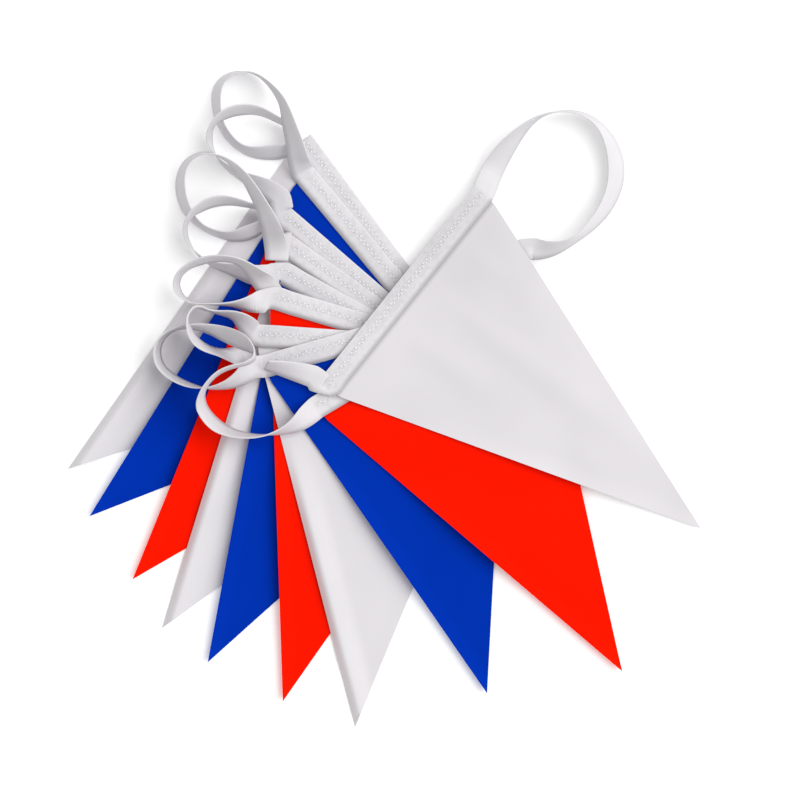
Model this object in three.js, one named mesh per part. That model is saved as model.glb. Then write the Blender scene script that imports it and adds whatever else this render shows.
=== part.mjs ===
// A string of ten triangular pennants, folded back and forth into a fan and laid flat on a table.
// One folded tape runs through every pennant's heading and springs out into loops between them.
// Millimetres, +Z up. Pennant 1 lies on top with its front up, pennant 10 flat on the table.
import * as THREE from "three";

// Driving sizes
const pennantWidth = 200;
const pennantDepth = 300;
const clothThickness = 1.0;
const tapeWidth = 18.5;
const tapeThickness = 1.4;
const layerGap = 0.35; // air left between one layer and the next
const seamGap = 0.3; // between a pennant's top edge and the tape's inner edge
const clothSlope = 0.14; // how steeply a layer comes down off the ones below
const clothReach = 14; // how far past an edge below a layer stays up
const clothSteps = 16; // rows of cloth from heading to tip
const headingStep = 14; // between the tape's sections along a heading
const looseStep = 7; // between the tape's sections in a loop
const tapeColour = 0xf2f2f2;
const clothColours = { white: 0xe6e4e6, red: 0xff1c00, blue: 0x0033aa };

// The photograph looks straight down, so its pixels are places on the table at one scale.
const mmPerPixel = 200 / 248;
const middleAcross = 385;
const middleDown = 335;

// One row for each pennant, bottom first: its tip in the photograph, how far its heading turns
// clockwise from level, in degrees, and how much shorter it lies from above for being slack, in mm.
const pennants = [
  { number: 10, colour: "white", tipAcross: 68, tipDown: 469, turn: 53.4, slack: 0 },
  { number: 9, colour: "blue", tipAcross: 90, tipDown: 516, turn: 50.2, slack: 0 },
  { number: 8, colour: "red", tipAcross: 133, tipDown: 579, turn: 41, slack: 9 },
  { number: 7, colour: "white", tipAcross: 162, tipDown: 628, turn: 35.7, slack: 0 },
  { number: 6, colour: "blue", tipAcross: 208, tipDown: 662, turn: 29.3, slack: 6 },
  { number: 5, colour: "red", tipAcross: 283, tipDown: 701, turn: 16.6, slack: 0 },
  { number: 4, colour: "white", tipAcross: 355, tipDown: 727, turn: 4.1, slack: 0 },
  { number: 3, colour: "blue", tipAcross: 487, tipDown: 693, turn: -15.8, slack: 7 },
  { number: 2, colour: "red", tipAcross: 622, tipDown: 671, turn: -31.1, slack: 0 },
  { number: 1, colour: "white", tipAcross: 701, tipDown: 528.5, turn: -51.3, slack: 3.6 },
];

// Loose runs of the tape. Each row gives the middle of the tape in the photograph, the height of
// its lower edge above the layers it passes, and its lean: 0 or 180 lies flat, 90 stands on edge.
const loopsNineToEight = [
  { across: 299, down: 163, low: 8, lean: 165 },
  { across: 297, down: 150, low: 17, lean: 145 },
  { across: 294, down: 139, low: 20, lean: 134 },
  { across: 289, down: 123, low: 21.5, lean: 124 },
  { across: 283.5, down: 106, low: 18, lean: 113 },
  { across: 276, down: 93.5, low: 10, lean: 102 },
  { across: 264, down: 80, low: 4, lean: 94 },
  { across: 249, down: 72, low: 1.5, lean: 88 },
  { across: 231, down: 75, low: 0.8, lean: 77 },
  { across: 220, down: 84, low: 0.6, lean: 70 },
  { across: 216.5, down: 98, low: 0.6, lean: 64 },
  { across: 217, down: 110, low: 0.6, lean: 70 },
  { across: 221, down: 124, low: 0.6, lean: 73 },
  { across: 230, down: 138.5, low: 0.6, lean: 73 },
  { across: 242, down: 149, low: 0.6, lean: 74 },
  { across: 256, down: 153, low: 0.6, lean: 62 },
  { across: 270, down: 153, low: 0.6, lean: 55 },
  { across: 284, down: 152, low: 0.6, lean: 55 },
  { across: 294, down: 149, low: 0.6, lean: 72 },
  { across: 300, down: 141, low: 0.6, lean: 88 },
  { across: 298, down: 132, low: 0.8, lean: 94 },
  { across: 290, down: 127, low: 1.2, lean: 98 },
  { across: 277, down: 120, low: 3, lean: 103 },
  { across: 264, down: 113.5, low: 7, lean: 106 },
  { across: 252, down: 111, low: 12, lean: 113 },
  { across: 239, down: 111.5, low: 17, lean: 115 },
  { across: 227, down: 115, low: 20, lean: 113 },
  { across: 218, down: 121, low: 20, lean: 110 },
  { across: 212.5, down: 129, low: 15, lean: 104 },
  { across: 210.5, down: 140, low: 6, lean: 97 },
  { across: 212.5, down: 151, low: 1.5, lean: 91 },
  { across: 219, down: 161, low: 0.8, lean: 85 },
  { across: 229, down: 169, low: 0.8, lean: 79 },
  { across: 241, down: 176, low: 0.8, lean: 70 },
  { across: 254, down: 182, low: 0.8, lean: 55 },
  { across: 268, down: 189, low: 0.8, lean: 35 },
  { across: 280, down: 198.5, low: 0.8, lean: 12 },
];
const loopsSevenToSix = [
  { across: 276, down: 246, low: 3.2, lean: 172 },
  { across: 273.5, down: 233, low: 11, lean: 156 },
  { across: 269, down: 220, low: 19.5, lean: 138 },
  { across: 263, down: 207, low: 22, lean: 124 },
  { across: 256, down: 195, low: 22.5, lean: 118 },
  { across: 247, down: 180, low: 22, lean: 111 },
  { across: 236, down: 167.5, low: 21.5, lean: 103 },
  { across: 224, down: 159, low: 21.5, lean: 95 },
  { across: 210, down: 155, low: 20.5, lean: 88 },
  { across: 198, down: 157, low: 14, lean: 80 },
  { across: 187.5, down: 164.5, low: 7, lean: 71 },
  { across: 182, down: 175, low: 2.5, lean: 66 },
  { across: 181, down: 189, low: 0.6, lean: 64 },
  { across: 184, down: 203, low: 0.6, lean: 66 },
  { across: 191, down: 217, low: 0.6, lean: 71 },
  { across: 200, down: 225, low: 0.6, lean: 78 },
  { across: 212, down: 232.5, low: 0.6, lean: 78 },
  { across: 224, down: 236, low: 0.6, lean: 73 },
  { across: 237, down: 236.5, low: 0.6, lean: 62 },
  { across: 250, down: 232.5, low: 0.6, lean: 52 },
  { across: 262, down: 226.5, low: 0.6, lean: 62 },
  { across: 270, down: 218, low: 0.6, lean: 86 },
  { across: 266, down: 210, low: 0.8, lean: 95 },
  { across: 257, down: 207.5, low: 1.5, lean: 98 },
  { across: 245, down: 205, low: 6, lean: 102 },
  { across: 232, down: 202, low: 12, lean: 110 },
  { across: 219, down: 202, low: 17, lean: 115 },
  { across: 206, down: 205.5, low: 21, lean: 115 },
  { across: 196, down: 212, low: 21.5, lean: 111 },
  { across: 190, down: 220, low: 18, lean: 104 },
  { across: 187, down: 230, low: 9, lean: 96 },
  { across: 188, down: 241, low: 2, lean: 91 },
  { across: 194, down: 251.5, low: 0.8, lean: 87 },
  { across: 203, down: 259.5, low: 0.8, lean: 84 },
  { across: 215, down: 265, low: 0.8, lean: 77 },
  { across: 228, down: 268.5, low: 0.8, lean: 66 },
  { across: 241, down: 272, low: 0.8, lean: 50 },
  { across: 255, down: 275.5, low: 0.8, lean: 30 },
  { across: 269, down: 276, low: 1.2, lean: 3 },
];
const loopsFiveToFour = [
  { across: 262, down: 302, low: 1.6, lean: 176 },
  { across: 252, down: 304, low: 0.8, lean: 144 },
  { across: 243, down: 304.8, low: 1.2, lean: 114 },
  { across: 234, down: 305, low: 1.5, lean: 99 },
  { across: 222, down: 304.8, low: 1.5, lean: 93 },
  { across: 206, down: 304.5, low: 1.5, lean: 90 },
  { across: 192, down: 303, low: 1.5, lean: 87 },
  { across: 182, down: 298, low: 2, lean: 84 },
  { across: 177.5, down: 289, low: 4, lean: 82 },
  { across: 180, down: 278, low: 10, lean: 77 },
  { across: 187, down: 269.5, low: 17, lean: 74 },
  { across: 196, down: 264, low: 19.5, lean: 73 },
  { across: 207, down: 260.5, low: 20, lean: 73 },
  { across: 219, down: 259, low: 20, lean: 75 },
  { across: 231, down: 259.5, low: 19, lean: 77 },
  { across: 241, down: 262.5, low: 17, lean: 72 },
  { across: 250, down: 268, low: 14, lean: 64 },
  { across: 258, down: 275.5, low: 5, lean: 42 },
];
const underFive = [
  { across: 264.5, down: 283, low: 0, lean: 15 },
  { across: 271.5, down: 292.5, low: 0, lean: 4 },
  { across: 277, down: 302, low: 0, lean: 0 },
  { across: 281, down: 313, low: 0, lean: 0 },
  { across: 281, down: 325, low: 0, lean: 0 },
  { across: 276, down: 337, low: 0, lean: 0 },
  { across: 267, down: 347, low: 0, lean: 0 },
  { across: 257, down: 354.5, low: 0, lean: 0 },
  { across: 247, down: 357.5, low: 0, lean: 8 },
];
const loopFourEnd = [
  { across: 236, down: 356.5, low: 0.8, lean: 42 },
  { across: 222, down: 353.5, low: 2, lean: 72 },
  { across: 208, down: 348.5, low: 7, lean: 74 },
  { across: 197, down: 340.5, low: 16, lean: 70 },
  { across: 190.5, down: 330.5, low: 23.5, lean: 75 },
  { across: 188.5, down: 320, low: 23.5, lean: 80 },
  { across: 191, down: 311, low: 16, lean: 86 },
  { across: 198, down: 307.5, low: 10, lean: 88 },
  { across: 210, down: 311, low: 4, lean: 86 },
  { across: 223, down: 313.5, low: 1.2, lean: 80 },
  { across: 236, down: 316, low: 1, lean: 64 },
  { across: 247, down: 324, low: 1, lean: 34 },
];
const loopsThreeToTwo = [
  { across: 252, down: 368, low: 1, lean: 160 },
  { across: 242, down: 378.5, low: 1, lean: 134 },
  { across: 231, down: 384.5, low: 1, lean: 114 },
  { across: 219, down: 387.5, low: 1, lean: 101 },
  { across: 206, down: 388.3, low: 1, lean: 91 },
  { across: 193, down: 386, low: 1, lean: 80 },
  { across: 179, down: 380.5, low: 1, lean: 76 },
  { across: 167, down: 372.5, low: 1, lean: 74 },
  { across: 159, down: 362, low: 1, lean: 73 },
  { across: 156.5, down: 350, low: 1, lean: 73 },
  { across: 161, down: 339.5, low: 1, lean: 79 },
  { across: 169, down: 332, low: 1, lean: 84 },
  { across: 180, down: 327.5, low: 1, lean: 85 },
  { across: 191, down: 326.5, low: 1, lean: 80 },
  { across: 203, down: 328, low: 1, lean: 72 },
  { across: 216, down: 331.5, low: 3, lean: 60 },
  { across: 229, down: 336, low: 8, lean: 48 },
  { across: 241, down: 340.5, low: 15, lean: 46 },
  { across: 252, down: 346, low: 20, lean: 62 },
  { across: 258.5, down: 353, low: 21, lean: 86 },
  { across: 256, down: 361, low: 21, lean: 96 },
  { across: 248, down: 364.5, low: 21, lean: 97 },
  { across: 237, down: 365.5, low: 21, lean: 97 },
  { across: 225, down: 370, low: 21, lean: 97 },
  { across: 214, down: 378, low: 22.5, lean: 97 },
  { across: 206, down: 387, low: 23.5, lean: 99 },
  { across: 202.5, down: 396, low: 19, lean: 109 },
  { across: 203, down: 406, low: 11, lean: 114 },
  { across: 208, down: 416, low: 6, lean: 119 },
  { across: 217, down: 425, low: 3, lean: 121 },
  { across: 229, down: 431.5, low: 1.5, lean: 113 },
  { across: 243, down: 435, low: 1, lean: 105 },
  { across: 257, down: 436, low: 1, lean: 98 },
  { across: 269, down: 435.2, low: 1, lean: 90 },
  { across: 281, down: 432, low: 1, lean: 79 },
  { across: 293, down: 427, low: 1, lean: 59 },
  { across: 305, down: 417.5, low: 1, lean: 27 },
];
const coveredByOne = [
  { across: 509, down: 272, low: 0, lean: 0 },
  { across: 515, down: 257, low: 0, lean: 0 },
  { across: 526, down: 249.5, low: 0, lean: 5 },
];
const loopTwoToOne = [
  { across: 541, down: 250.5, low: 2, lean: 34 },
  { across: 557, down: 248.5, low: 0.8, lean: 60 },
  { across: 574, down: 240.5, low: 0.6, lean: 76 },
  { across: 592, down: 224.5, low: 0.6, lean: 65 },
  { across: 605.5, down: 207, low: 0.6, lean: 54 },
  { across: 613.5, down: 189, low: 0.6, lean: 47 },
  { across: 616, down: 172, low: 0.6, lean: 42 },
  { across: 614, down: 155, low: 0.6, lean: 48 },
  { across: 608, down: 139, low: 1, lean: 60 },
  { across: 598, down: 125, low: 2, lean: 72 },
  { across: 584, down: 115.5, low: 4, lean: 78 },
  { across: 566, down: 112, low: 6, lean: 84 },
  { across: 547, down: 114.5, low: 8, lean: 90 },
  { across: 531, down: 122.5, low: 9, lean: 102 },
  { across: 516, down: 136.5, low: 8, lean: 121 },
  { across: 503, down: 153, low: 5, lean: 144 },
  { across: 491.5, down: 173, low: 2, lean: 163 },
];
const leadFromOne = [
  { across: 314, down: 377, low: 0.5, lean: 168 },
  { across: 302, down: 373, low: 0.8, lean: 152 },
  { across: 290, down: 370, low: 1, lean: 138 },
  { across: 278, down: 367.3, low: 1.5, lean: 125 },
  { across: 267, down: 365.3, low: 2.5, lean: 113 },
];

// Flat folds hidden under pennant 1, where the tape turns back from one heading to the next.
// The corner is where it folds over; the bend is a point on the way from there, where one is given.
const foldsAtRight = {
  10: { across: 482.8, down: 387.5 },
  8: { across: 517.7, down: 417.6 },
  6: { across: 585, down: 404 },
  4: { across: 545, down: 350, bend: [{ across: 539, down: 320 }, { across: 525, down: 298 }] },
};
const foldsAfterTwo = [
  { across: 533, down: 277.3 },
  { across: 508, down: 293 },
];
const foldsAfterSeven = [
  { across: 280, down: 237 },
  { across: 277, down: 259 },
];

const up = new THREE.Vector3(0, 0, 1);

function onTable(place) {
  const x = (place.across - middleAcross) * mmPerPixel;
  const y = (middleDown - place.down) * mmPerPixel;
  return new THREE.Vector3(x, y, 0);
}

// The corners and directions of a pennant lying on the table.
function layOut(row) {
  const tip = onTable({ across: row.tipAcross, down: row.tipDown });
  const turn = THREE.MathUtils.degToRad(row.turn);
  const along = new THREE.Vector3(Math.cos(turn), -Math.sin(turn), 0);
  const away = new THREE.Vector3(Math.sin(turn), Math.cos(turn), 0);
  const middle = tip.clone().addScaledVector(away, pennantDepth - row.slack);
  const left = middle.clone().addScaledVector(along, -pennantWidth / 2);
  const right = middle.clone().addScaledVector(along, pennantWidth / 2);
  return { tip, along, away, left, right };
}

// The height of everything laid so far, on a square grid over the table.
const grid = { size: 3, left: -290, bottom: -330, columns: 190, rows: 180 };

function makeField() {
  return new Float32Array(grid.columns * grid.rows);
}

function heightAt(field, x, y) {
  const u = THREE.MathUtils.clamp((x - grid.left) / grid.size, 0, grid.columns - 1.001);
  const v = THREE.MathUtils.clamp((y - grid.bottom) / grid.size, 0, grid.rows - 1.001);
  const column = Math.floor(u);
  const row = Math.floor(v);
  const at = row * grid.columns + column;
  const low = THREE.MathUtils.lerp(field[at], field[at + 1], u - column);
  const high = THREE.MathUtils.lerp(field[at + grid.columns], field[at + grid.columns + 1], u - column);
  return THREE.MathUtils.lerp(low, high, v - row);
}

// Raises the field to a triangle's surface wherever the triangle lies above it.
function stampTriangle(field, a, b, c) {
  const area = (b.x - a.x) * (c.y - a.y) - (c.x - a.x) * (b.y - a.y);
  if (Math.abs(area) < 1e-6) return;
  const firstColumn = Math.floor((Math.min(a.x, b.x, c.x) - grid.left) / grid.size);
  const lastColumn = Math.ceil((Math.max(a.x, b.x, c.x) - grid.left) / grid.size);
  const firstRow = Math.floor((Math.min(a.y, b.y, c.y) - grid.bottom) / grid.size);
  const lastRow = Math.ceil((Math.max(a.y, b.y, c.y) - grid.bottom) / grid.size);
  const edge = -0.2; // takes in the cells that the triangle's rim only touches
  for (let row = firstRow; row <= lastRow; row += 1) {
    for (let column = firstColumn; column <= lastColumn; column += 1) {
      const x = grid.left + column * grid.size;
      const y = grid.bottom + row * grid.size;
      const s = ((x - a.x) * (c.y - a.y) - (c.x - a.x) * (y - a.y)) / area;
      const t = ((b.x - a.x) * (y - a.y) - (x - a.x) * (b.y - a.y)) / area;
      if (s < edge || t < edge || s + t > 1 - edge) continue;
      const at = row * grid.columns + column;
      const height = a.z + s * (b.z - a.z) + t * (c.z - a.z);
      field[at] = Math.max(field[at], height);
    }
  }
}

// The surface on which the next layer lies: the field grown outwards, then eased down to the table.
function drapeOver(field) {
  const cells = Math.round(clothReach / grid.size);
  const grown = makeField();
  for (let row = cells; row < grid.rows - cells; row += 1) {
    for (let column = cells; column < grid.columns - cells; column += 1) {
      let highest = 0;
      for (let r = -cells; r <= cells; r += 1) {
        const half = Math.floor(Math.sqrt(cells * cells - r * r));
        const middle = (row + r) * grid.columns + column;
        for (let c = -half; c <= half; c += 1) highest = Math.max(highest, field[middle + c]);
      }
      grown[row * grid.columns + column] = highest;
    }
  }
  const side = clothSlope * grid.size;
  const corner = side * Math.SQRT2;
  const before = [
    [-1, side],
    [-grid.columns, side],
    [-grid.columns - 1, corner],
    [-grid.columns + 1, corner],
  ];
  const first = grid.columns + 1;
  const last = grown.length - grid.columns - 2;
  for (let at = first; at <= last; at += 1) {
    for (const [step, drop] of before) grown[at] = Math.max(grown[at], grown[at + step] - drop);
  }
  for (let at = last; at >= first; at -= 1) {
    for (const [step, drop] of before) grown[at] = Math.max(grown[at], grown[at - step] - drop);
  }
  return grown;
}

// A closed mesh from positions and triangles.
function solidMesh(name, positions, triangles, colour) {
  const geometry = new THREE.BufferGeometry();
  geometry.setAttribute("position", new THREE.Float32BufferAttribute(positions.flat(), 3));
  geometry.setIndex(triangles.flat());
  geometry.computeVertexNormals();
  const material = new THREE.MeshStandardMaterial({ color: colour, roughness: 0.85, metalness: 0 });
  const mesh = new THREE.Mesh(geometry, material);
  mesh.name = name;
  return mesh;
}

// A pennant's cloth: rows of points from heading to tip, draped on what lies below.
function makePennant(row, surface, field) {
  const { tip, away, left, right } = layOut(row);
  const positions = [];
  const triangles = [];
  const rowStart = [];
  for (let r = 0; r <= clothSteps; r += 1) {
    rowStart.push(positions.length);
    const start = left.clone().lerp(tip, r / clothSteps);
    const end = right.clone().lerp(tip, r / clothSteps);
    const columns = clothSteps - r;
    for (let c = 0; c <= columns; c += 1) {
      const point = start.clone().lerp(end, columns ? c / columns : 0);
      if (r === 0) point.addScaledVector(away, -seamGap);
      positions.push([point.x, point.y, heightAt(surface, point.x, point.y)]);
    }
  }
  const count = positions.length;
  for (let at = 0; at < count; at += 1) {
    const [x, y, z] = positions[at];
    positions.push([x, y, z + clothThickness]);
  }
  const addTop = (a, b, c) => {
    triangles.push([a + count, b + count, c + count], [a, c, b]);
    const corners = [a, b, c].map((at) => {
      const [x, y, z] = positions[at + count];
      return new THREE.Vector3(x, y, z + layerGap);
    });
    stampTriangle(field, ...corners);
  };
  for (let r = 0; r < clothSteps; r += 1) {
    for (let c = 0; c < clothSteps - r; c += 1) {
      const here = rowStart[r] + c;
      const below = rowStart[r + 1] + c;
      addTop(here, below, here + 1);
      if (c < clothSteps - r - 1) addTop(here + 1, below, below + 1);
    }
  }
  const rim = [];
  for (let r = 0; r <= clothSteps; r += 1) rim.push(rowStart[r]);
  for (let r = clothSteps - 1; r >= 0; r -= 1) rim.push(rowStart[r] + clothSteps - r);
  for (let c = clothSteps - 1; c > 0; c -= 1) rim.push(c);
  rim.forEach((from, at) => {
    const to = rim[(at + 1) % rim.length];
    triangles.push([from, to, to + count], [from, to + count, from + count]);
  });
  return solidMesh(`pennant_${row.number}`, positions, triangles, clothColours[row.colour]);
}

// A section of the tape: its middle, the unit direction from inner to outer edge, its width there
// and the direction through its thickness.
function section(middle, across, width, through) {
  return { middle, across, width, through };
}

// The tape's sections along a pennant's heading, from its left end to its right.
function headingSections(row, surface) {
  const { along, away, left } = layOut(row);
  const steps = Math.round(pennantWidth / headingStep);
  const sections = [];
  for (let at = 0; at <= steps; at += 1) {
    const inner = left.clone().addScaledVector(along, (pennantWidth * at) / steps);
    const outer = inner.clone().addScaledVector(away, tapeWidth);
    inner.z = heightAt(surface, inner.x, inner.y);
    outer.z = heightAt(surface, outer.x, outer.y);
    const across = outer.clone().sub(inner).normalize();
    const through = new THREE.Vector3().crossVectors(along, across).normalize();
    const middle = inner.clone().add(outer).multiplyScalar(0.5);
    middle.addScaledVector(through, tapeThickness / 2);
    sections.push(section(middle, across, tapeWidth, through));
  }
  return sections;
}

// The same sections met from the other end: the tape's own front then faces the other way.
function turnedRound(sections) {
  return sections
    .slice()
    .reverse()
    .map((s) => section(s.middle, s.across, s.width, s.through.clone().negate()));
}

// Sections along a loose run between two sections that are already laid.
function looseSections(from, rows, to, surface) {
  const half = tapeWidth / 2;
  const knots = rows.map((row) => {
    const place = onTable(row);
    const lean = THREE.MathUtils.degToRad(row.lean);
    const rise = half * Math.abs(Math.sin(lean)) + (tapeThickness / 2) * Math.abs(Math.cos(lean));
    place.z = heightAt(surface, place.x, place.y) + row.low + rise;
    return { place, lean: row.lean };
  });
  const ends = [];
  if (from) ends.push(from.before, from.at);
  const all = [...ends, ...knots];
  if (to) all.push(to.at, to.after);
  const path = new THREE.CatmullRomCurve3(all.map((knot) => knot.place));
  const leans = new THREE.CatmullRomCurve3(
    all.map((knot) => new THREE.Vector3(knot.lean, 0, 0)),
    false,
    "catmullrom",
    0.5,
  );
  const spans = all.length - 1;
  const firstSpan = from ? 1 : 0;
  const lastSpan = to ? spans - 1 : spans;
  const sections = [];
  for (let span = firstSpan; span < lastSpan; span += 1) {
    const length = all[span].place.distanceTo(all[span + 1].place);
    const steps = Math.max(1, Math.round(length / looseStep));
    const skip = span === firstSpan && from ? 1 : 0;
    for (let step = skip; step < steps; step += 1) {
      const t = (span + step / steps) / spans;
      const lean = THREE.MathUtils.degToRad(leans.getPoint(t).x);
      sections.push(leaningSection(path.getPoint(t), path.getTangent(t), lean));
    }
  }
  if (!to) {
    const lean = THREE.MathUtils.degToRad(all[spans].lean);
    sections.push(leaningSection(path.getPoint(1), path.getTangent(1), lean));
  }
  return sections;
}

function leaningSection(middle, travel, lean) {
  const level = new THREE.Vector3().crossVectors(up, travel).normalize();
  const rise = new THREE.Vector3().crossVectors(travel, level).normalize();
  const across = level.multiplyScalar(Math.cos(lean)).addScaledVector(rise, Math.sin(lean));
  const through = new THREE.Vector3().crossVectors(travel, across).normalize();
  return section(middle, across, tapeWidth, through);
}

// A flat fold at a corner: the tape arrives one way and goes back over itself another way.
function foldSections(corner, arrive, leave, outerOnLeft) {
  const crease = arrive.clone().add(leave).normalize();
  const left = new THREE.Vector3().crossVectors(up, arrive);
  const sine = crease.dot(left);
  if (sine > 0 !== outerOnLeft) crease.negate();
  const width = tapeWidth / Math.abs(sine);
  const outward = new THREE.Vector3().crossVectors(crease, up);
  if (outward.dot(arrive) < 0) outward.negate();
  const lift = tapeThickness + layerGap;
  const side = outerOnLeft ? 1 : -1;
  const below = section(corner.clone(), crease, width, up.clone().multiplyScalar(side));
  const bend = corner.clone().addScaledVector(outward, lift);
  bend.z += lift / 2;
  const turn = section(bend, crease, width, outward.clone().multiplyScalar(-side));
  const above = section(corner.clone(), crease, width, up.clone().multiplyScalar(-side));
  above.middle.z += lift;
  return [below, turn, above];
}

// A knot on the way of a loose run, made from a section that is already laid.
function knotAt(laid, lean) {
  return { place: laid.middle.clone(), lean };
}

function stampSections(field, sections) {
  for (let at = 0; at + 1 < sections.length; at += 1) {
    const corners = [sections[at], sections[at + 1]].flatMap((s) =>
      [-0.5, 0.5].map((share) => {
        const corner = s.middle.clone().addScaledVector(s.across, share * s.width);
        corner.z += tapeThickness / 2 + layerGap;
        return corner;
      }),
    );
    stampTriangle(field, corners[0], corners[1], corners[2]);
    stampTriangle(field, corners[1], corners[3], corners[2]);
  }
}

// The tape as one solid: a flat rectangle carried through all the sections.
function makeTape(sections) {
  const positions = [];
  const triangles = [];
  const signs = [
    [1, 1],
    [-1, 1],
    [-1, -1],
    [1, -1],
  ];
  for (const s of sections) {
    for (const [acrossSign, throughSign] of signs) {
      const corner = s.middle
        .clone()
        .addScaledVector(s.across, (acrossSign * s.width) / 2)
        .addScaledVector(s.through, (throughSign * tapeThickness) / 2);
      positions.push(corner.toArray());
    }
  }
  for (let at = 0; at + 1 < sections.length; at += 1) {
    for (let side = 0; side < 4; side += 1) {
      const a = at * 4 + side;
      const b = at * 4 + ((side + 1) % 4);
      triangles.push([a, b, a + 4], [b, b + 4, a + 4]);
    }
  }
  const end = (sections.length - 1) * 4;
  triangles.push([0, 2, 1], [0, 3, 2]);
  triangles.push([end, end + 1, end + 2], [end, end + 2, end + 3]);
  return solidMesh("tape", positions, triangles, tapeColour);
}

// Lays the pennants from the bottom up, and the tape with them.
function makeStack() {
  const field = makeField();
  const meshes = [];
  const tape = [];
  const laid = {};
  const surfaces = {};
  const folds = {};
  const hidden = [];
  for (const row of pennants) {
    const surface = drapeOver(field);
    surfaces[row.number] = surface;
    meshes.push(makePennant(row, surface, field));
    const heading = headingSections(row, surface);
    laid[row.number] = row.number % 2 ? turnedRound(heading) : heading;
    stampSections(field, heading);
    layRun(row.number);
  }

  // What follows a pennant's heading: even ones fold back at the right, odd ones loop at the left.
  function layRun(number) {
    if (number === 10) tape.push(...laid[10]);
    if (foldsAtRight[number]) startFold(number);
    if (number === 9) foldAcross(10, 9);
    if (number === 8) loopAcross(9, 8, loopsNineToEight);
    if (number === 7) foldAcross(8, 7);
    if (number === 6) {
      const folded = foldTwice(laid[7].at(-1), foldsAfterSeven, loopsSevenToSix[0], false);
      const to = { at: knotAt(laid[6][0], 0), after: knotAt(laid[6][1], 0) };
      const from = leaving(folded.at(-1), loopsSevenToSix[0], 180);
      const run = looseSections(from, loopsSevenToSix, to, surfaces[6]);
      tape.push(...folded, ...run, ...laid[6]);
      stampSections(field, run.slice(-3));
      hidden.push(...looseSections(null, underFive, null, drapeOver(field)));
      stampSections(field, hidden.slice(1));
    }
    if (number === 5) {
      foldAcross(6, 5);
      const from = { before: knotAt(laid[5].at(-2), 180), at: knotAt(laid[5].at(-1), 180) };
      const to = { at: knotAt(hidden[0], 15), after: knotAt(hidden[1], 8) };
      tape.push(...looseSections(from, loopsFiveToFour, to, surfaces[5]), ...hidden);
    }
    if (number === 4) {
      const lean = underFive.at(-1).lean;
      const from = { before: knotAt(tape.at(-2), lean), at: knotAt(tape.at(-1), lean) };
      const to = { at: knotAt(laid[4][0], 0), after: knotAt(laid[4][1], 0) };
      tape.push(...looseSections(from, loopFourEnd, to, surfaces[4]), ...laid[4]);
    }
    if (number === 3) foldAcross(4, 3);
    if (number === 2) {
      loopAcross(3, 2, loopsThreeToTwo);
      const folded = foldTwice(laid[2].at(-1), foldsAfterTwo, coveredByOne[0], true);
      tape.push(...folded);
      stampSections(field, [laid[2].at(-1), ...folded.slice(0, 4)]);
      const from = leaving(folded.at(-1), coveredByOne[0], 0);
      const outward = looseSections(from, coveredByOne, null, drapeOver(field));
      tape.push(...outward);
      stampSections(field, [folded.at(-1), ...outward]);
    }
    if (number === 1) {
      const lean = coveredByOne.at(-1).lean;
      const from = { before: knotAt(tape.at(-2), lean), at: knotAt(tape.at(-1), lean) };
      const to = { at: knotAt(laid[1][0], 180), after: knotAt(laid[1][1], 180) };
      tape.push(...looseSections(from, loopTwoToOne, to, surfaces[2]), ...laid[1]);
      const end = { before: knotAt(laid[1].at(-2), 180), at: knotAt(laid[1].at(-1), 180) };
      tape.push(...looseSections(end, leadFromOne, null, surfaces[1]));
    }
  }

  // Two flat folds one after the other, the second bringing the tape back on its way.
  function foldTwice(start, corners, towards, outerOnLeft) {
    const first = onTable(corners[0]).setZ(start.middle.z + 0.6);
    const second = onTable(corners[1]);
    const arrive = first.clone().sub(start.middle).setZ(0).normalize();
    const across = second.clone().sub(first).setZ(0).normalize();
    const onward = onTable(towards).sub(second).setZ(0).normalize();
    const folded = foldSections(first, arrive, across, outerOnLeft);
    second.z = folded[2].middle.z;
    return [...folded, ...foldSections(second, across, onward, !outerOnLeft)];
  }

  function leaving(last, towards, lean) {
    const onward = onTable(towards).sub(last.middle).setZ(0).normalize();
    const before = { place: last.middle.clone().addScaledVector(onward, -10), lean };
    return { before, at: knotAt(last, lean) };
  }

  function loopAcross(upper, lower, rows) {
    const from = { before: knotAt(laid[upper].at(-2), 180), at: knotAt(laid[upper].at(-1), 180) };
    const to = { at: knotAt(laid[lower][0], 0), after: knotAt(laid[lower][1], 0) };
    tape.push(...looseSections(from, rows, to, surfaces[lower]), ...laid[lower]);
  }

  // The tape's way from a heading's right end to where it turns back.
  function startFold(number) {
    const fold = foldsAtRight[number];
    const start = laid[number].at(-1);
    const corner = onTable(fold);
    const next = fold.bend ? onTable(fold.bend[0]) : layOut(pennants[11 - number]).right;
    if (!fold.bend) next.addScaledVector(layOut(pennants[11 - number]).away, tapeWidth / 2);
    const arrive = corner.clone().sub(start.middle).setZ(0).normalize();
    const leave = next.sub(corner).setZ(0).normalize();
    const settled = tapeThickness / 2 + heightAt(drapeOver(field), corner.x, corner.y);
    corner.z = Math.max(start.middle.z, settled);
    folds[number] = foldSections(corner, arrive, leave, true);
    stampSections(field, [start, ...folds[number]]);
  }

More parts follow.
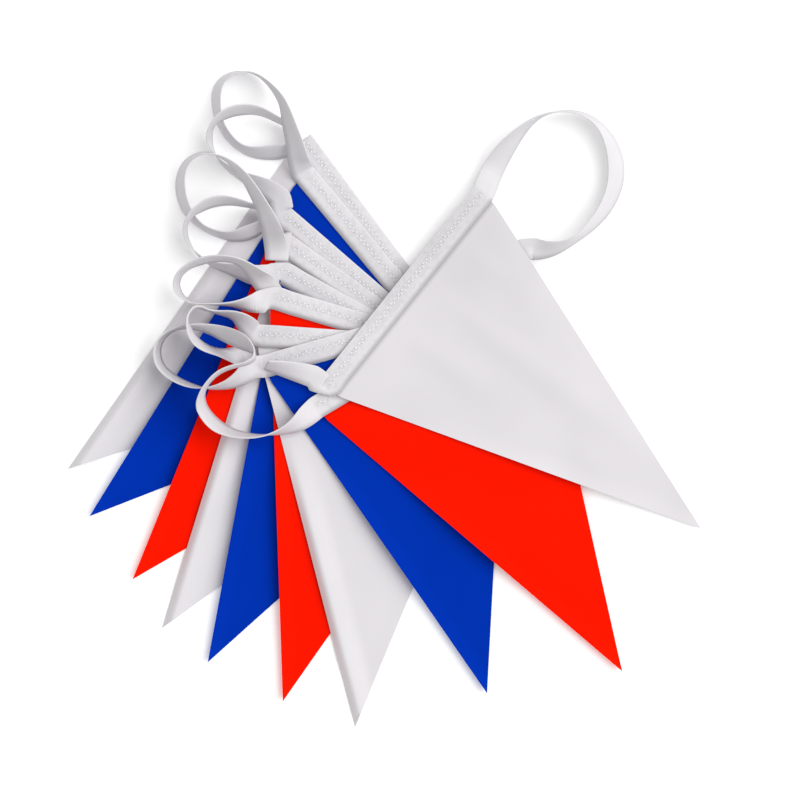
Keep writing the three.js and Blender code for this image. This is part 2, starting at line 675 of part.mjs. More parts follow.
  // The rest of the way, over the first part, to the right end of the heading above.
  function foldAcross(lower, upper) {
    const folded = folds[lower];
    const end = laid[upper][0];
    const run = [];
    if (foldsAtRight[lower].bend) {
      const bends = foldsAtRight[lower].bend.map(onTable);
      bends[0].z = folded[2].middle.z;
      bends[1].z = THREE.MathUtils.lerp(folded[2].middle.z, end.middle.z, 0.6);
      const places = [folded[2].middle, ...bends, end.middle, laid[upper][1].middle];
      const path = new THREE.CatmullRomCurve3(places);
      const spans = places.length - 1;
      for (let step = 1; step < 4 * (spans - 1); step += 1) {
        const t = step / (4 * spans);
        run.push(leaningSection(path.getPoint(t), path.getTangent(t), Math.PI));
      }
    }
    tape.push(...folded, ...run, ...laid[upper]);
    stampSections(field, [folded[2], ...run, end]);
  }

  meshes.push(makeTape(tape));
  return meshes;
}

const bunting = new THREE.Group();
bunting.add(...makeStack());
const box = new THREE.Box3().setFromObject(bunting);
const centre = box.getCenter(new THREE.Vector3());
bunting.position.set(-centre.x, -centre.y, -box.min.z);

export default bunting;
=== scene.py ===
import math

import bmesh
import bpy
import numpy as np
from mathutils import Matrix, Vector
from mathutils.bvhtree import BVHTree


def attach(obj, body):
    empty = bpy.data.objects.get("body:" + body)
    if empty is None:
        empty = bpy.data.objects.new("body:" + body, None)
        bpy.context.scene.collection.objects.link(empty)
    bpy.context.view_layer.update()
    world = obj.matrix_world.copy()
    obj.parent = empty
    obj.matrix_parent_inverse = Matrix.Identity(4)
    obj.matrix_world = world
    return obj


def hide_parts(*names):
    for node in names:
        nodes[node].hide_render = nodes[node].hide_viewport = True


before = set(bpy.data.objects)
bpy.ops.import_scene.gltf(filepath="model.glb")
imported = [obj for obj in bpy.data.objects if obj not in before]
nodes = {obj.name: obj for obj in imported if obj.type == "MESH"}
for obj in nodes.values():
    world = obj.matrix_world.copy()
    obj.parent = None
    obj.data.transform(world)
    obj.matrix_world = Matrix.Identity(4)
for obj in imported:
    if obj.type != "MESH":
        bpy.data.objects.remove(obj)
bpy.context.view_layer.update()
print("frame loaded")

# Metres, +Z up. The camera looks straight down from far off, as the photograph does.
roomLook = {
    "viewAcross": 0.645,
    "viewMiddle": (0.0125, -0.0012),
    "lens": 250.0,
    "sensor": 36.0,
    "sunStrength": 1.95,
    "sunFrom": (0.60, 0.20, 0.77),
    "sunSoftness": 55.0,
    "skyStrength": 0.66,
    "floorColour": (0.97, 0.97, 0.97),
    "floorGlow": 0.13,
    "floorSize": 6.0,
    "floorBelow": 0.0002,
    "viewFar": 20.0,
    "bounces": 6,
}


class Wire:
    # One socket of a material's node tree, so that shader maths reads as ordinary maths.
    def __init__(self, graph, socket):
        self.graph = graph
        self.socket = socket

    def __add__(self, other):
        return self.graph.maths("ADD", self, other)

    def __radd__(self, other):
        return self.graph.maths("ADD", other, self)

    def __sub__(self, other):
        return self.graph.maths("SUBTRACT", self, other)

    def __rsub__(self, other):
        return self.graph.maths("SUBTRACT", other, self)

    def __mul__(self, other):
        return self.graph.maths("MULTIPLY", self, other)

    def __rmul__(self, other):
        return self.graph.maths("MULTIPLY", other, self)

    def __truediv__(self, other):
        return self.graph.maths("DIVIDE", self, other)

    def __rtruediv__(self, other):
        return self.graph.maths("DIVIDE", other, self)


class Graph:
    # Makes the nodes of one material.
    def __init__(self, name):
        self.material = bpy.data.materials.new(name)
        self.material.use_nodes = True
        self.tree = self.material.node_tree
        self.shader = self.tree.nodes["Principled BSDF"]

    def feed(self, socket, value):
        if isinstance(value, Wire):
            self.tree.links.new(value.socket, socket)
        else:
            socket.default_value = value

    def node(self, kind, settings, values, output=0):
        made = self.tree.nodes.new(kind)
        for name, value in settings.items():
            setattr(made, name, value)
        for name, value in values.items():
            self.feed(made.inputs[name], value)
        return Wire(self, made.outputs[output])

    def maths(self, operation, *values):
        numbered = dict(enumerate(values))
        return self.node("ShaderNodeMath", {"operation": operation}, numbered)

    def mix(self, share, first, second):
        # The colour sockets share their names with others, so they go by their places.
        values = {"Factor": share, 6: first, 7: second}
        return self.node("ShaderNodeMix", {"data_type": "RGBA"}, values, 2)

    def noise(self, place, scale, detail=2.0):
        values = {"Vector": place, "Scale": scale, "Detail": detail}
        return self.node("ShaderNodeTexNoise", {}, values, "Fac")

    def step(self, value, low, high):
        values = {"Value": value, "From Min": low, "From Max": high}
        return self.node("ShaderNodeMapRange", {"interpolation_type": "SMOOTHSTEP"}, values)

    def finish(self, **values):
        for name, value in values.items():
            self.feed(self.shader.inputs[name.replace("_", " ")], value)
        return self.material


# Woven cloth and tape. Threads run along and across the piece's own flat layout, which is its
# UV map in metres. The cloth's colours repeat down the stack, from the top.
clothCycle = ("white", "red", "blue")
clothLook = {
    "white": {
        "colour": (0.695, 0.672, 0.695, 1),
        "shade": (0.655, 0.634, 0.656, 1),
        "specular": 0.08,
    },
    "red": {
        "colour": (0.94, 0.0085, 0.0, 1),
        "shade": (0.88, 0.007, 0.0, 1),
        "specular": 0.015,
    },
    "blue": {
        "colour": (0.0, 0.030, 0.395, 1),
        "shade": (0.0, 0.028, 0.37, 1),
        "specular": 0.015,
    },
    "tape": {
        "colour": (0.715, 0.70, 0.72, 1),
        "shade": (0.615, 0.60, 0.62, 1),
        "specular": 0.06,
    },
    "thread": {
        "colour": (0.90, 0.89, 0.91, 1),
        "shade": (0.38, 0.37, 0.39, 1),
        "specular": 0.05,
    },
}
weaveLook = {
    "threadPitch": 0.00055,
    "depth": 0.00003,
    "strength": 0.5,
    "share": 0.05,
    "cloudScale": 14.0,
    "cloudStep": (0.35, 0.70),
    "cloudShare": 0.5,
    "fleckScale": 900.0,
    "fleckShare": 0.12,
    "fleckHeight": 0.8,
    "roughness": 0.72,
    "cloudRoughness": 0.06,
}
# How dark the painted shadow at each cloth's seam is, and across what reach from the seam it
# fades.
seamShadowLook = {"shade": 0.66, "reach": (0.0008, 0.0038)}
# Across the tape, in metres from its middle: the channel that the stitches draw in, painted
# darker as shade, the folded edge, painted paler as a highlight, and the painted shade at the
# open edge.
sewnLook = {
    "slubScale": 230.0,
    "slubStep": (0.42, 0.66),
    "slubShare": 0.45,
    "channelFrom": (-0.0014, 0.0001),
    "channelTo": (0.0038, 0.0052),
    "channelShadeShare": 0.3,
    "foldFrom": (0.0072, 0.0088),
    "foldHighlightShare": 0.4,
    "openEdgeShadowTo": (-0.0090, -0.0048),
    "hemShade": 0.80,
}
threadLook = {
    "stitchEndShade": (0.0007, 0.0015),
    "patchScale": 100.0,
    "patchStep": (0.47, 0.60),
}
sideStep = 3.0  # how far apart the tape's two sides lie in its layout


def darker(colour, share):
    return tuple(part * share for part in colour[:3]) + (1,)


def sewnSlubsShadeAndHighlight(graph, place, fromMiddle):
    # Along a heading the tape has slubs of its own; the channel that the stitching draws in is
    # painted
    #     # darker as shade, and its folded edge is painted paler as a highlight.
    channel = graph.step(fromMiddle, *sewnLook["channelFrom"])
    channel = channel * (1 - graph.step(fromMiddle, *sewnLook["channelTo"]))
    slubs = graph.step(graph.noise(place, sewnLook["slubScale"], 1.0), *sewnLook["slubStep"])
    litFold = graph.step(fromMiddle, *sewnLook["foldFrom"])
    slubsAndChannelShade = slubs * sewnLook["slubShare"] + channel * sewnLook["channelShadeShare"]
    return slubsAndChannelShade - litFold * sewnLook["foldHighlightShare"]


def tapeColour(graph, look, place, across, share):
    sewn = graph.node("ShaderNodeAttribute", {"attribute_name": "sewn"}, {}, "Fac")
    fromMiddle = graph.maths("WRAP", across, sideStep / 2, -sideStep / 2)
    share = share + sewnSlubsShadeAndHighlight(graph, place, fromMiddle) * sewn
    colour = graph.mix(share, look["colour"], look["shade"])
    # Painted shadow: the seam's shadow is painted a little way onto the tape's open edge.
    hemShadow = (1 - graph.step(fromMiddle, *sewnLook["openEdgeShadowTo"])) * sewn
    return graph.mix(hemShadow, colour, darker(look["shade"], sewnLook["hemShade"]))


def threadColour(graph, look, place, along):
    # A stitch is pale where it lies on the tape; its ends, where it goes into the tape, are
    # painted dark
    #     # as shade. Each has its own place in the layout, so that some come out greyer.
    diveShade = graph.step(graph.maths("ABSOLUTE", along), *threadLook["stitchEndShade"])
    patches = graph.noise(place, threadLook["patchScale"], 1.0)
    share = diveShade + graph.step(patches, *threadLook["patchStep"])
    return graph.mix(share, look["colour"], look["shade"])


def pennantColour(graph, look, across, share):
    # Painted shadow: the cloth is painted darker where it runs into its seam under the tape, at
    # the layout's near edge.
    colour = graph.mix(share, look["colour"], look["shade"])
    seamShadowColour = darker(look["shade"], seamShadowLook["shade"])
    return graph.mix(graph.step(across, *seamShadowLook["reach"]), seamShadowColour, colour)


def makeCloth(name):
    look = clothLook[name]
    graph = Graph(name)
    place = graph.node("ShaderNodeTexCoord", {}, {}, "UV")
    along = graph.node("ShaderNodeSeparateXYZ", {}, {"Vector": place}, "X")
    across = graph.node("ShaderNodeSeparateXYZ", {}, {"Vector": place}, "Y")
    turns = 2 * math.pi / weaveLook["threadPitch"]
    warp = graph.maths("SINE", along * turns)
    weft = graph.maths("SINE", across * turns)
    weave = warp * weft * 0.5 + 0.5
    cloudy = graph.step(graph.noise(place, weaveLook["cloudScale"]), *weaveLook["cloudStep"])
    flecks = graph.noise(place, weaveLook["fleckScale"], 1.0)
    share = cloudy * weaveLook["cloudShare"] + flecks * weaveLook["fleckShare"]
    share = share + weave * weaveLook["share"]
    if name == "tape":
        colour = tapeColour(graph, look, place, across, share)
    elif name == "thread":
        colour = threadColour(graph, look, place, along)
    else:
        colour = pennantColour(graph, look, across, share)
    height = weave + flecks * weaveLook["fleckHeight"]
    values = {
        "Strength": weaveLook["strength"],
        "Distance": weaveLook["depth"],
        "Height": height,
    }
    return graph.finish(
        Base_Color=colour,
        Roughness=cloudy * weaveLook["cloudRoughness"] + weaveLook["roughness"],
        Specular_IOR_Level=look["specular"],
        Normal=graph.node("ShaderNodeBump", {}, values),
    )


materials = {name: makeCloth(name) for name in clothLook}


def makeObject(name, points, faces, layout, material):
    mesh = bpy.data.meshes.new(name)
    mesh.from_pydata([tuple(p) for p in points], [], faces)
    uv = mesh.uv_layers.new(name="flat")
    for loop in mesh.loops:
        uv.data[loop.index].uv = layout[loop.vertex_index]
    mesh.materials.append(material)
    mesh.shade_smooth()
    made = bpy.data.objects.new(name, mesh)
    bpy.context.scene.collection.objects.link(made)
    return made


# A pennant: a thin sheet that follows the top of its solid; the top one has slight waves of its
# own.
pennantNumbers = range(1, 11)
pennantLook = {
    "width": 0.2,
    "depth": 0.3,
    "rows": 72,
    "thickness": 0.00032,
    "inset": 0.994,
    "deeperInset": 0.97,
    "belowTop": 0.00028,
    "intoTape": 0.003,
    "tapeWithin": 0.0030,
    "belowTape": 0.00058,
    "passes": 4,
    "easing": 5,
    "mostSunk": 0.0003,
    "edgeFrom": (0.05, 0.16),
    "curl": {"height": 0.0060, "width": 0.013},
    "topCurl": {"height": 0.0024, "width": 0.016},
    "rolled": (4, 7, 10),
    "roll": {"height": 0.0058, "crest": 0.0056, "width": 0.024},
}
# Soft ridges in the top pennant, in its own flat layout: each runs from one place to another,
# with its height and its half width, all in metres.
waves = [
    {"start": (-0.054, 0.012), "end": (-0.066, 0.078), "height": 0.0011, "reach": 0.013},
    {"start": (-0.014, 0.010), "end": (-0.021, 0.225), "height": 0.0016, "reach": 0.014},
    {"start": (0.028, 0.014), "end": (0.017, 0.120), "height": 0.0012, "reach": 0.013},
]
# How a ridge widens and fades, by the share of its length.
waveLook = {
    "narrowest": 0.7,
    "widening": 0.5,
    "fadeIn": (-0.1, 0.3),
    "fadeOut": (0.8, 1.25),
}


def cornersOf(node):
    # A pennant's left and right corners and its tip, seen from above.
    points = np.array([v.co[:] for v in node.data.vertices])
    flat = points[:, :2]
    tip = points[np.argmax(np.linalg.norm(flat - flat.mean(axis=0), axis=1))]
    reach = flat - tip[:2]
    middle = reach.mean(axis=0)
    side = reach[:, 0] * middle[1] - reach[:, 1] * middle[0]
    left = points[np.argmax(side)]
    right = points[np.argmin(side)]
    return left, right, tip


def treeOf(node):
    points = [v.co for v in node.data.vertices]
    return BVHTree.FromPolygons(points, [p.vertices[:] for p in node.data.polygons])


def topOf(tree, point, above=1.0):
    hit = tree.ray_cast(Vector((point[0], point[1], above)), Vector((0, 0, -1)))[0]
    return None if hit is None else hit.z


tapeTree = treeOf(nodes["tape"])


def eased(grid, heights, times):
    # Averages each height with its neighbours along the rows and between them.
    rows = len(grid)
    for _ in range(times):
        fresh = heights.copy()
        for r in range(rows):
            for c, at in enumerate(grid[r]):
                near = []
                if 0 < c < len(grid[r]) - 1:
                    near += [grid[r][c - 1], grid[r][c + 1]]
                if 0 < r < rows - 1 and c < len(grid[r + 1]):
                    near += [grid[r + 1][c], grid[r - 1][c]]
                if near:
                    fresh[at] = 0.5 * heights[at] + 0.5 * heights[near].mean()
        heights = fresh
    return heights


def smooth(value, low, high):
    share = min(1.0, max(0.0, (value - low) / (high - low)))
    return share * share * (3 - 2 * share)


def shadedSideOf(left, right, tip):
    # Which of the two cut edges faces more away from the light: -1 the left, 1 the right.
    sun = np.array(roomLook["sunFrom"][:2])
    facing = {}
    for side, corner, other in ((-1, left, right), (1, right, left)):
        edge = (corner - tip)[:2]
        outward = np.array([-edge[1], edge[0]]) / np.linalg.norm(edge)
        if np.dot(outward, (other - tip)[:2]) > 0:
            outward = -outward
        facing[side] = np.dot(outward, sun)
    return min(facing, key=facing.get)


def edgeLift(number, u, v, side):
    # The cut edge away from the light: a white one under the others rolls over and down, the
    # rest curl up.
    toEdge = pennantLook["width"] / 2 * (1 - v / pennantLook["depth"]) - u * side
    fade = smooth(v, *pennantLook["edgeFrom"])
    if number in pennantLook["rolled"]:
        roll = pennantLook["roll"]
        up = smooth(toEdge, 0.0, roll["crest"])
        down = 1 - smooth(toEdge, roll["crest"], roll["width"])
        return roll["height"] * fade * up * down
    curl = pennantLook["topCurl" if number == 1 else "curl"]
    share = max(0.0, 1 - toEdge / curl["width"])
    return curl["height"] * fade * share * share


def waveLift(u, v):
    lift = 0.0
    for wave in waves:
        (startU, startV), (endU, endV) = wave["start"], wave["end"]
        share = (v - startV) / (endV - startV)
        centre = startU + (endU - startU) * share
        reach = wave["reach"] * (waveLook["narrowest"] + waveLook["widening"] * share)
        away = (u - centre) / reach
        fade = smooth(share, *waveLook["fadeIn"]) * (1 - smooth(share, *waveLook["fadeOut"]))
        lift += wave["height"] * fade * math.exp(-away * away)
    return lift


def clothRows(node):
    # Rows of points from heading to tip on the solid's top, and their places in the layout.
    left, right, tip = cornersOf(node)
    tree = treeOf(node)
    rows = pennantLook["rows"]
    middle = (left + right + tip) / 3
    away = (left + right) / 2 - tip
    away[2] = 0
    away /= np.linalg.norm(away)
    points = []
    layout = []
    grid = []
    for r in range(rows + 1):
        share = r / rows
        start = left + (tip - left) * share
        end = right + (tip - right) * share
        columns = rows - r
        grid.append([])
        for c in range(columns + 1):
            across = c / columns if columns else 0.5
            point = start + (end - start) * across
            height = topOf(tree, middle + (point - middle) * pennantLook["inset"])
            if height is None:
                height = topOf(tree, middle + (point - middle) * pennantLook["deeperInset"])
            point = np.array([point[0], point[1], height])
            if r == 0:
                point[:2] += away[:2] * pennantLook["intoTape"]
            grid[-1].append(len(points))
            points.append(point)
            u = pennantLook["width"] * (across - 0.5) * (1 - share)
            layout.append((u, pennantLook["depth"] * share))
    return np.array(points), layout, grid


def clothHeights(number, solidTop, layout, grid):
    heights = solidTop
    lowest = solidTop - pennantLook["mostSunk"]
    for _ in range(pennantLook["passes"]):
        heights = np.maximum(eased(grid, heights, pennantLook["easing"]), lowest)
    shadedSide = shadedSideOf(*cornersOf(nodes[f"pennant_{number}"]))
    for at, (u, v) in enumerate(layout):
        heights[at] += edgeLift(number, u, v, shadedSide)
        if number == 1:
            heights[at] += waveLift(u, v)
    return heights - pennantLook["belowTop"]


def tuckIntoTape(points, row):
    # The first row lies between the folded tape's two layers.
    for at in row:
        x, y, z = points[at]
        onTape = topOf(tapeTree, (x, y), z + pennantLook["tapeWithin"])
        if onTape is not None and onTape > z - pennantLook["tapeWithin"]:
            points[at, 2] = onTape - pennantLook["belowTape"]


def clothFaces(grid, below):
    # Both sides of the sheet and its rim; the lower points come that many after the upper ones.
    rows = len(grid) - 1
    faces = []
    for r in range(rows):
        for c in range(rows - r):
            a, b, under = grid[r][c], grid[r][c + 1], grid[r + 1][c]
            faces.append((a, under, b))
            faces.append((a + below, b + below, under + below))
            if c < rows - r - 1:
                across = grid[r + 1][c + 1]
                faces.append((b, under, across))
                faces.append((b + below, across + below, under + below))
    rim = [row[0] for row in grid] + [row[-1] for row in grid[-2::-1]] + grid[0][-2:0:-1]
    rimEdges = list(zip(rim, rim[1:] + rim[:1]))
    for here, after in rimEdges:
        faces.append((here, here + below, after + below, after))
    return faces, rimEdges


def sharpenRim(made, rimEdges, below):
    onRim = {frozenset(pair) for pair in rimEdges}
    onRim |= {frozenset((a + below, b + below)) for a, b in rimEdges}
    sharp = made.data.attributes.new("sharp_edge", "BOOLEAN", "EDGE")
    for edge in made.data.edges:
        sharp.data[edge.index].value = frozenset(edge.vertices) in onRim


def makePennant(number):
    points, layout, grid = clothRows(nodes[f"pennant_{number}"])
    points[:, 2] = clothHeights(number, points[:, 2], layout, grid)
    tuckIntoTape(points, grid[0])
    lower = points.copy()
    lower[:, 2] -= pennantLook["thickness"]
    faces, rimEdges = clothFaces(grid, len(points))
    cloth = clothCycle[(number - 1) % len(clothCycle)]
    both = np.vstack([points, lower])
    made = makeObject(f"cloth_{number}", both, faces, layout * 2, materials[cloth])
    sharpenRim(made, rimEdges, len(points))
    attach(made, "root")
    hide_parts(f"pennant_{number}")


for number in pennantNumbers:
    makePennant(number)
print("pennants made")

# The tape: its solid's sections are read back in order, then drawn as a folded tape.
tapeLook = {
    "width": 0.0185,
    "layer": 0.0004,
    "opening": 0.00036,
    "steps": 4,
    "easing": 1,
    "flatEnough": 0.95,
}
# What tells the solid's parts apart: how near an end's corners lie to each other, how much the
# first sections differ in width, how thin its narrow side is, and how much wider a crease is.
tapeReading = {
    "endWithin": 0.03,
    "firstSections": 8,
    "widthSpread": 0.002,
    "thinSide": 0.005,
    "creaseWider": 0.0002,
}


def followRings(order, near):
    # From four vertices of an end, ring after ring, or nothing where the order doesn't hold.
    rings = [order]
    seen = set(order)
    while True:
        ahead = [set(near[at]) - seen for at in rings[-1]]
        if not any(ahead):
            return rings
        fresh = []
        for k in range(4):
            both = ahead[k] & ahead[(k + 1) % 4]
            if len(both) != 1:
                return None
            fresh.append(both.pop())
        rings.append(fresh)
        seen |= set(fresh)


def sectionsOf(node):
    # The solid is a rectangle carried through its sections, so each vertex between the ends has
    # six edges, and a section's four vertices meet the next section's in turn.
    shape = bmesh.new()
    shape.from_mesh(node.data)
    bmesh.ops.remove_doubles(shape, verts=shape.verts, dist=1e-6)
    shape.verts.ensure_lookup_table()
    near = [[e.other_vert(v).index for e in v.link_edges] for v in shape.verts]
    places = np.array([v.co[:] for v in shape.verts])
    shape.free()

    def apart(a, b):
        return np.linalg.norm(places[a] - places[b])

    ends = [at for at, others in enumerate(near) if len(others) < 6]
    first = min(ends, key=lambda at: places[at][2])
    ring = [at for at in ends if apart(at, first) < tapeReading["endWithin"]]
    farthest = max(ring[1:] + ring[:1], key=lambda at: apart(at, first))
    sides = [at for at in ring if at not in (first, farthest)]
    for one, other in (sides, sides[::-1]):
        rings = followRings([first, one, farthest, other], near)
        if rings is None:
            continue
        widths = [apart(r[0], r[1]) for r in rings[: tapeReading["firstSections"]]]
        if max(widths) - min(widths) < tapeReading["widthSpread"]:
            return places[np.array(rings)]
    raise ValueError("the tape's sections can't be followed")


corners = sectionsOf(nodes["tape"])
if np.linalg.norm(corners[0][0] - corners[0][1]) < tapeReading["thinSide"]:
    corners = corners[:, [1, 2, 3, 0]]
print("sections of tape:", len(corners))
middles = corners.mean(axis=1)
halves = (corners[:, 0] - corners[:, 1] + corners[:, 3] - corners[:, 2]) / 4
through = corners[:, 0] + corners[:, 1] - corners[:, 2] - corners[:, 3]
through /= np.linalg.norm(through, axis=1)[:, None]
firstCloth = cornersOf(nodes["pennant_10"])
clothMiddle = sum(firstCloth) / 3
if np.dot(halves[3], clothMiddle - middles[3]) > 0:
    # The half width points to the folded edge, away from the cloth.
    halves = -halves
    through = -through
widths = 2 * np.linalg.norm(halves, axis=1)
creased = widths > tapeLook["width"] + tapeReading["creaseWider"]


def between(values, at, share):
    # Catmull-Rom through the values, kept to its own stretch between two creases.
    a, b = values[at], values[at + 1]
    before, after = a, b
    if at > 0 and not creased[at] and not creased[at - 1]:
        before = values[at - 1]
    if at + 2 < len(values) and not creased[at + 1] and not creased[at + 2]:
        after = values[at + 2]
    return 0.5 * (
        2 * a
        + (b - before) * share
        + (2 * before - 5 * a + 4 * b - after) * share * share
        + (3 * a - before - 3 * b + after) * share * share * share
    )


def easedSections(values):
    # Evens out the loops; a crease and its neighbours stay as they are.
    loose = ~creased
    loose[1:] &= ~creased[:-1]
    loose[:-1] &= ~creased[1:]
    loose &= np.abs(through[:, 2]) < tapeLook["flatEnough"]
    loose[[0, -1]] = False
    for _ in range(tapeLook["easing"]):
        fresh = values.copy()
        fresh[1:-1] = (values[:-2] + 2 * values[1:-1] + values[2:]) / 4
        values = np.where(loose[:, None], fresh, values)
    return values


def fineSections():
    # Each has its middle, its half width, its normal and its place along the sections.
    fine = []
    for at in range(len(middles) - 1):
        steps = 1 if creased[at] and creased[at + 1] else tapeLook["steps"]
        for step in range(steps):
            share = step / steps
            middle = between(middles, at, share)
            half = between(halves, at, share)
            normal = through[at] * (1 - share) + through[at + 1] * share
            normal -= half * np.dot(normal, half) / np.dot(half, half)
            length = np.linalg.norm(normal)
            fine.append((middle, half, normal / max(length, 1e-6), at + share))
    fine.append((middles[-1], halves[-1], through[-1], len(middles) - 1.0))
    return fine


middles = easedSections(middles)
halves = easedSections(halves)
fine = fineSections()


# How closely a section has to lie to a pennant's top edge to be part of its heading.
headingReading = {
    "offLine": 0.0015,
    "pastEnd": 0.001,
    "level": 0.9,
    "offHeight": 0.012,
    "longestBreak": 1.5,
}


def headingRun(number):
    # The longest unbroken stretch of sections along a pennant's top edge.
    left, right, _ = cornersOf(nodes[f"pennant_{number}"])
    along = (right - left)[:2]
    length = np.linalg.norm(along)
    along = along / length
    side = np.array([-along[1], along[0]])
    pastEnd = headingReading["pastEnd"]
    run = []
    for section in fine:
        middle, half, normal, _ = section
        inner = middle - half
        offset = inner[:2] - left[:2]
        onLine = abs(np.dot(offset, side)) < headingReading["offLine"]
        within = -pastEnd < np.dot(offset, along) < length + pastEnd
        level = abs(normal[2]) > headingReading["level"]
        near = abs(inner[2] - left[2]) < headingReading["offHeight"]
        if onLine and within and level and near:
            run.append(section)
    stretches = [[run[0]]]
    for section in run[1:]:
        if section[3] - stretches[-1][-1][3] > headingReading["longestBreak"]:
            stretches.append([])
        stretches[-1].append(section)
    return max(stretches, key=len)


def tapeProfile():
    # The folded tape's outline round both layers, as share of half width and distance through.
    layer = tapeLook["layer"]
    gap = tapeLook["opening"] / 2
    outer = gap + layer
    bend = [(0.955, 1.0), (0.985, 0.8), (1.0, 0.35), (1.0, -0.35), (0.985, -0.8), (0.955, -1.0)]
    profile = [(-1.0, outer), (-0.4, outer), (0.3, outer)]
    profile += [(share, outer * part) for share, part in bend]
    profile += [(0.3, -outer), (-0.4, -outer), (-1.0, -outer), (-1.0, -gap)]
    profile += [(0.3, -gap), (0.93, -gap), (0.93, gap), (0.3, gap), (-1.0, gap)]
    return profile


def tapePoints(profile):
    # The tape's points and layout, and its length.
    points = []
    layout = []
    travelled = 0.0
    last = fine[0][0]
    for middle, half, normal, _ in fine:
        travelled += np.linalg.norm(middle - last)
        last = middle
        for share, part in profile:
            points.append(middle + half * share + normal * part)
            across = share * tapeLook["width"] / 2
            layout.append((travelled, across + sideStep * (part > 0)))
    return points, layout, travelled


def tapeFaces(count):
    faces = []
    for at in range(len(fine) - 1):
        for k in range(count):
            a = at * count + k
            b = at * count + (k + 1) % count
            faces.append((a, a + count, b + count, b))
    # The ends, each a strip of quads between the outline's two halves.
    for base in (0, (len(fine) - 1) * count):
        for k in range(count // 2):
            a, b = base + k, base + (k + 1) % count
            c, d = base + count - 1 - k, base + (count - 2 - k) % count
            if len({a, b, c, d}) == 4:
                faces.append((a, b, d, c) if base == 0 else (a, c, d, b))
    return faces


def markSewn(made, count):
    # The headings' share of the tape, where its material adds slubs, painted channel shade, a
    # painted fold highlight and painted seam shadow.
    sewnAt = {section[3] for number in pennantNumbers for section in headingRun(number)}
    sewn = made.data.attributes.new("sewn", "FLOAT", "POINT")
    for at, section in enumerate(fine):
        for k in range(count):
            sewn.data[at * count + k].value = 1.0 if section[3] in sewnAt else 0.0


def makeTape():
    profile = tapeProfile()
    points, layout, travelled = tapePoints(profile)
    faces = tapeFaces(len(profile))
    made = makeObject("tape_folded", points, faces, layout, materials["tape"])
    markSewn(made, len(profile))
    print("tape length", round(travelled, 3))
    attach(made, "root")
    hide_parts("tape")


makeTape()
print("tape made")

# The stitching: two rows of short thread along each heading, near the tape's folded edge, on both
# of its sides. The rows' places are shares of the tape's half width.
stitchLook = {
    "pitch": 0.0046,
    "length": 0.0031,
    "width": 0.0010,
    "height": 0.00028,
    "sunk": 0.00006,
    "rowShares": (0.08, 0.30),
    "stagger": 0.5,
    "layoutStep": 0.01,
}
# A stitch across, as shares of its width and height, and along, as share of its length and how
# much of its full size it has there.
stitchOutline = [(-0.5, 0.0), (-0.35, 0.9), (0.0, 1.0), (0.35, 0.9), (0.5, 0.0)]
stitchEnds = [(-0.5, 0.15), (-0.4, 0.8), (-0.2, 1.0), (0.2, 1.0), (0.4, 0.8), (0.5, 0.15)]


def placeOnRun(run, reach, here):
    # The tape's middle, half width and normal at a distance along a heading.
    k = min(int(np.searchsorted(reach, here, side="right")) - 1, len(run) - 2)
    k = max(k, 0)
    blend = (here - reach[k]) / max(reach[k + 1] - reach[k], 1e-9)
    return [run[k][i] * (1 - blend) + run[k + 1][i] * blend for i in range(3)]


def stitchPoints(run, reach, at, share, face, stitchNumber):
    surface = tapeLook["opening"] / 2 + tapeLook["layer"] - stitchLook["sunk"]
    points = []
    layout = []
    for part, swell in stitchEnds:
        along = part * stitchLook["length"]
        middle, half, normal = placeOnRun(run, reach, at + along)
        unit = half / np.linalg.norm(half)
        for sideways, up in stitchOutline:
            rise = surface + up * swell * stitchLook["height"]
            offset = unit * sideways * swell * stitchLook["width"]
            points.append(middle + half * share + offset + normal * face * rise)
            across = sideways * stitchLook["width"] + stitchLook["layoutStep"] * stitchNumber
            layout.append((along, across))
    return points, layout


def stitchFaces(start, face):
    wide = len(stitchOutline)
    last = start + (len(stitchEnds) - 1) * wide
    faces = []
    for row in range(start, last, wide):
        for j in range(wide):
            a = row + j
            b = row + (j + 1) % wide
            faces.append((a, b, b + wide, a + wide))
    faces.append(tuple(range(start, start + wide))[::-1])
    faces.append(tuple(range(last, last + wide)))
    return faces if face == 1 else [turned[::-1] for turned in faces]


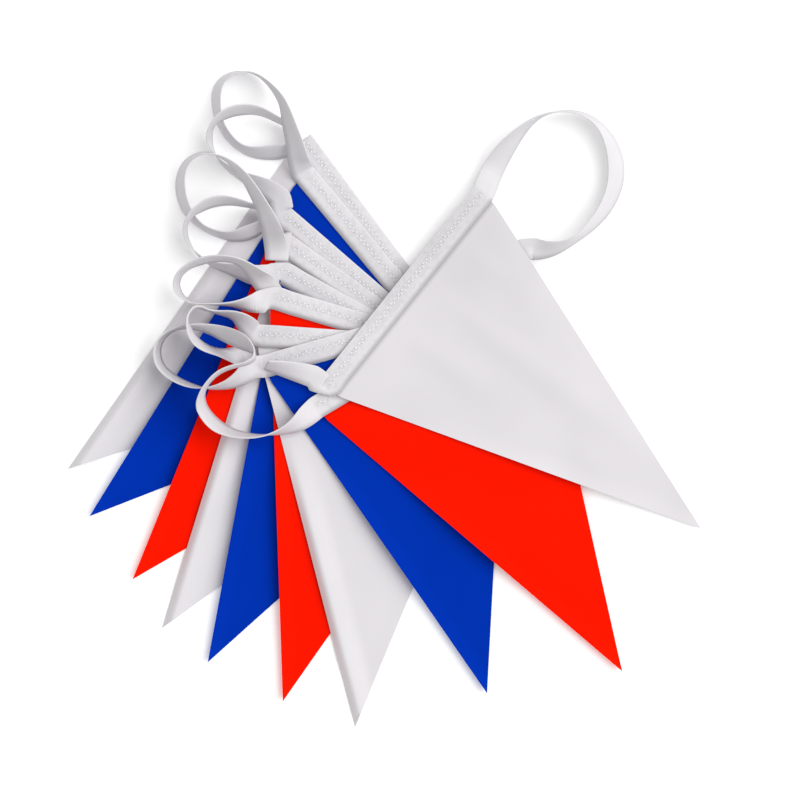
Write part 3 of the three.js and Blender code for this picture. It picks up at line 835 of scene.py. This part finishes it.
def makeStitches():
    points = []
    faces = []
    layout = []
    stitchNumber = 0
    for number in pennantNumbers:
        run = headingRun(number)
        places = np.array([section[0] for section in run])
        lengths = np.linalg.norm(np.diff(places, axis=0), axis=1)
        reach = np.concatenate([[0], np.cumsum(lengths)])
        for rowAt, share in enumerate(stitchLook["rowShares"]):
            at = stitchLook["pitch"] * (0.5 + stitchLook["stagger"] * rowAt)
            while at < reach[-1] - stitchLook["pitch"]:
                stitchNumber += 1
                for face in (1, -1):
                    faces += stitchFaces(len(points), face)
                    made = stitchPoints(run, reach, at, share, face, stitchNumber)
                    points += made[0]
                    layout += made[1]
                at += stitchLook["pitch"]
    stitching = makeObject("stitching", points, faces, layout, materials["thread"])
    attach(stitching, "root")


makeStitches()
print("stitches made")


def makeFloor():
    below = (0, 0, -roomLook["floorBelow"])
    bpy.ops.mesh.primitive_plane_add(size=roomLook["floorSize"], location=below)
    floor = bpy.context.object
    floor.name = "floor"
    floorLook = Graph("floor").finish(
        Base_Color=(*roomLook["floorColour"], 1),
        Roughness=1.0,
        Specular_IOR_Level=0.0,
        Emission_Color=(1, 1, 1, 1),
        Emission_Strength=roomLook["floorGlow"],
    )
    floor.data.materials.append(floorLook)
    return floor


def makeLight():
    sun = bpy.data.lights.new("sun", "SUN")
    sun.energy = roomLook["sunStrength"]
    sun.angle = math.radians(roomLook["sunSoftness"])
    lamp = bpy.data.objects.new("sun", sun)
    lamp.rotation_euler = Vector(roomLook["sunFrom"]).to_track_quat("Z", "Y").to_euler()
    bpy.context.scene.collection.objects.link(lamp)
    world = bpy.data.worlds.new("sky")
    world.use_nodes = True
    sky = world.node_tree.nodes["Background"].inputs
    sky["Color"].default_value = (1, 1, 1, 1)
    sky["Strength"].default_value = roomLook["skyStrength"]
    bpy.context.scene.world = world


def makeCamera():
    lens = bpy.data.cameras.new("camera")
    lens.lens = roomLook["lens"]
    lens.sensor_width = roomLook["sensor"]
    lens.clip_end = roomLook["viewFar"]
    distance = roomLook["viewAcross"] * roomLook["lens"] / roomLook["sensor"]
    camera = bpy.data.objects.new("camera", lens)
    camera.location = (*roomLook["viewMiddle"], distance)
    bpy.context.scene.collection.objects.link(camera)
    bpy.context.scene.camera = camera


def makeRoom():
    floor = makeFloor()
    makeLight()
    makeCamera()
    scene = bpy.context.scene
    scene.view_settings.view_transform = "Standard"
    scene.view_settings.look = "None"
    scene.cycles.max_bounces = roomLook["bounces"]


makeRoom()
print("room made")
